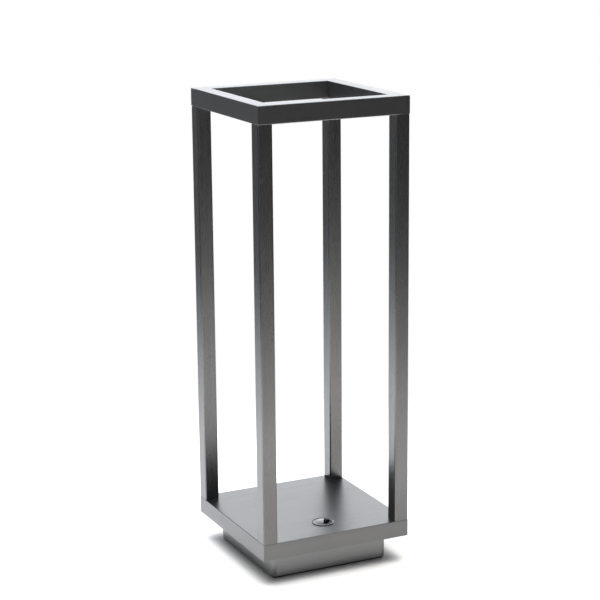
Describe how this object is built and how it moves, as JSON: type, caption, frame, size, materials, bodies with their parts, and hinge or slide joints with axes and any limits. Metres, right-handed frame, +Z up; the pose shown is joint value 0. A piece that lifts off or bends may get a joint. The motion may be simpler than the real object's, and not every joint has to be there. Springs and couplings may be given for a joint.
{
  "type": "lantern",
  "caption": "Open square-tube lantern frame on a stepped plinth, with light bars under its top ring and a sprung push button in the base tray.",
  "frame": {"origin": "centre of the foot pad's underside, on the surface that the lantern stands on", "axes": "+Z up along the legs, -Y to the front, where the push button is, +X to the right seen from the front"},
  "size_m": [0.16, 0.16, 0.473],
  "materials": {
    "brushed_frame": "satin brushed gunmetal stainless steel",
    "polished_button": "polished",
    "plated_steel": "zinc plated",
    "black_rubber": "matt",
    "black_plastic": "moulded",
    "opal_diffuser": "opal",
    "circuit_board": "white solder mask",
    "brass_terminal": "tinned brass",
    "cell_jacket": "printed film, plain",
    "lead_jacket": "extruded jacket"
  },
  "bodies": {
    "lantern": {"ring_rail_front": "brushed_frame", "ring_rail_back": "brushed_frame", "ring_rail_left": "brushed_frame", "ring_rail_right": "brushed_frame", "corner_key_front_left": "plated_steel", "corner_key_front_right": "plated_steel", "corner_key_back_left": "plated_steel", "corner_key_back_right": "plated_steel", "leg_front_left": "brushed_frame", "leg_front_right": "brushed_frame", "leg_back_left": "brushed_frame", "leg_back_right": "brushed_frame", "light_strip_front": "circuit_board", "light_strip_back": "circuit_board", "light_strip_left": "circuit_board", "light_strip_right": "circuit_board", "diffuser_front": "opal_diffuser", "diffuser_back": "opal_diffuser", "diffuser_left": "opal_diffuser", "diffuser_right": "opal_diffuser", "leg_locators": "plated_steel", "tie_rods": "plated_steel", "tie_washers": "plated_steel", "tie_nuts": "plated_steel", "base_tray": "brushed_frame", "tray_spacers": "plated_steel", "base_underplate": "brushed_frame", "plinth_shell": "brushed_frame", "plinth_posts": "plated_steel", "plinth_floor": "brushed_frame", "floor_screws": "plated_steel", "foot_pad": "black_rubber", "button_bezel": "polished_button", "button_seal": "black_rubber", "button_spring": "plated_steel", "button_switch": "black_plastic", "button_terminals": "brass_terminal", "button_nut": "plated_steel", "battery_holder": "black_plastic", "battery_contacts": "plated_steel", "battery_cells": "cell_jacket", "battery_lead": "lead_jacket", "light_lead": "lead_jacket", "ring_lead": "lead_jacket"},
    "button": {"button_cap": "polished_button"}
  },
  "joints": [
    {"name": "button_press", "type": "slide", "parent": "lantern", "child": "button", "axis": [0, 0, -1], "range_m": [0, 0.0015], "stiffness_N_per_m": 1200, "springref_m": -0.0015, "deforming": ["button_spring"]}
  ]
}
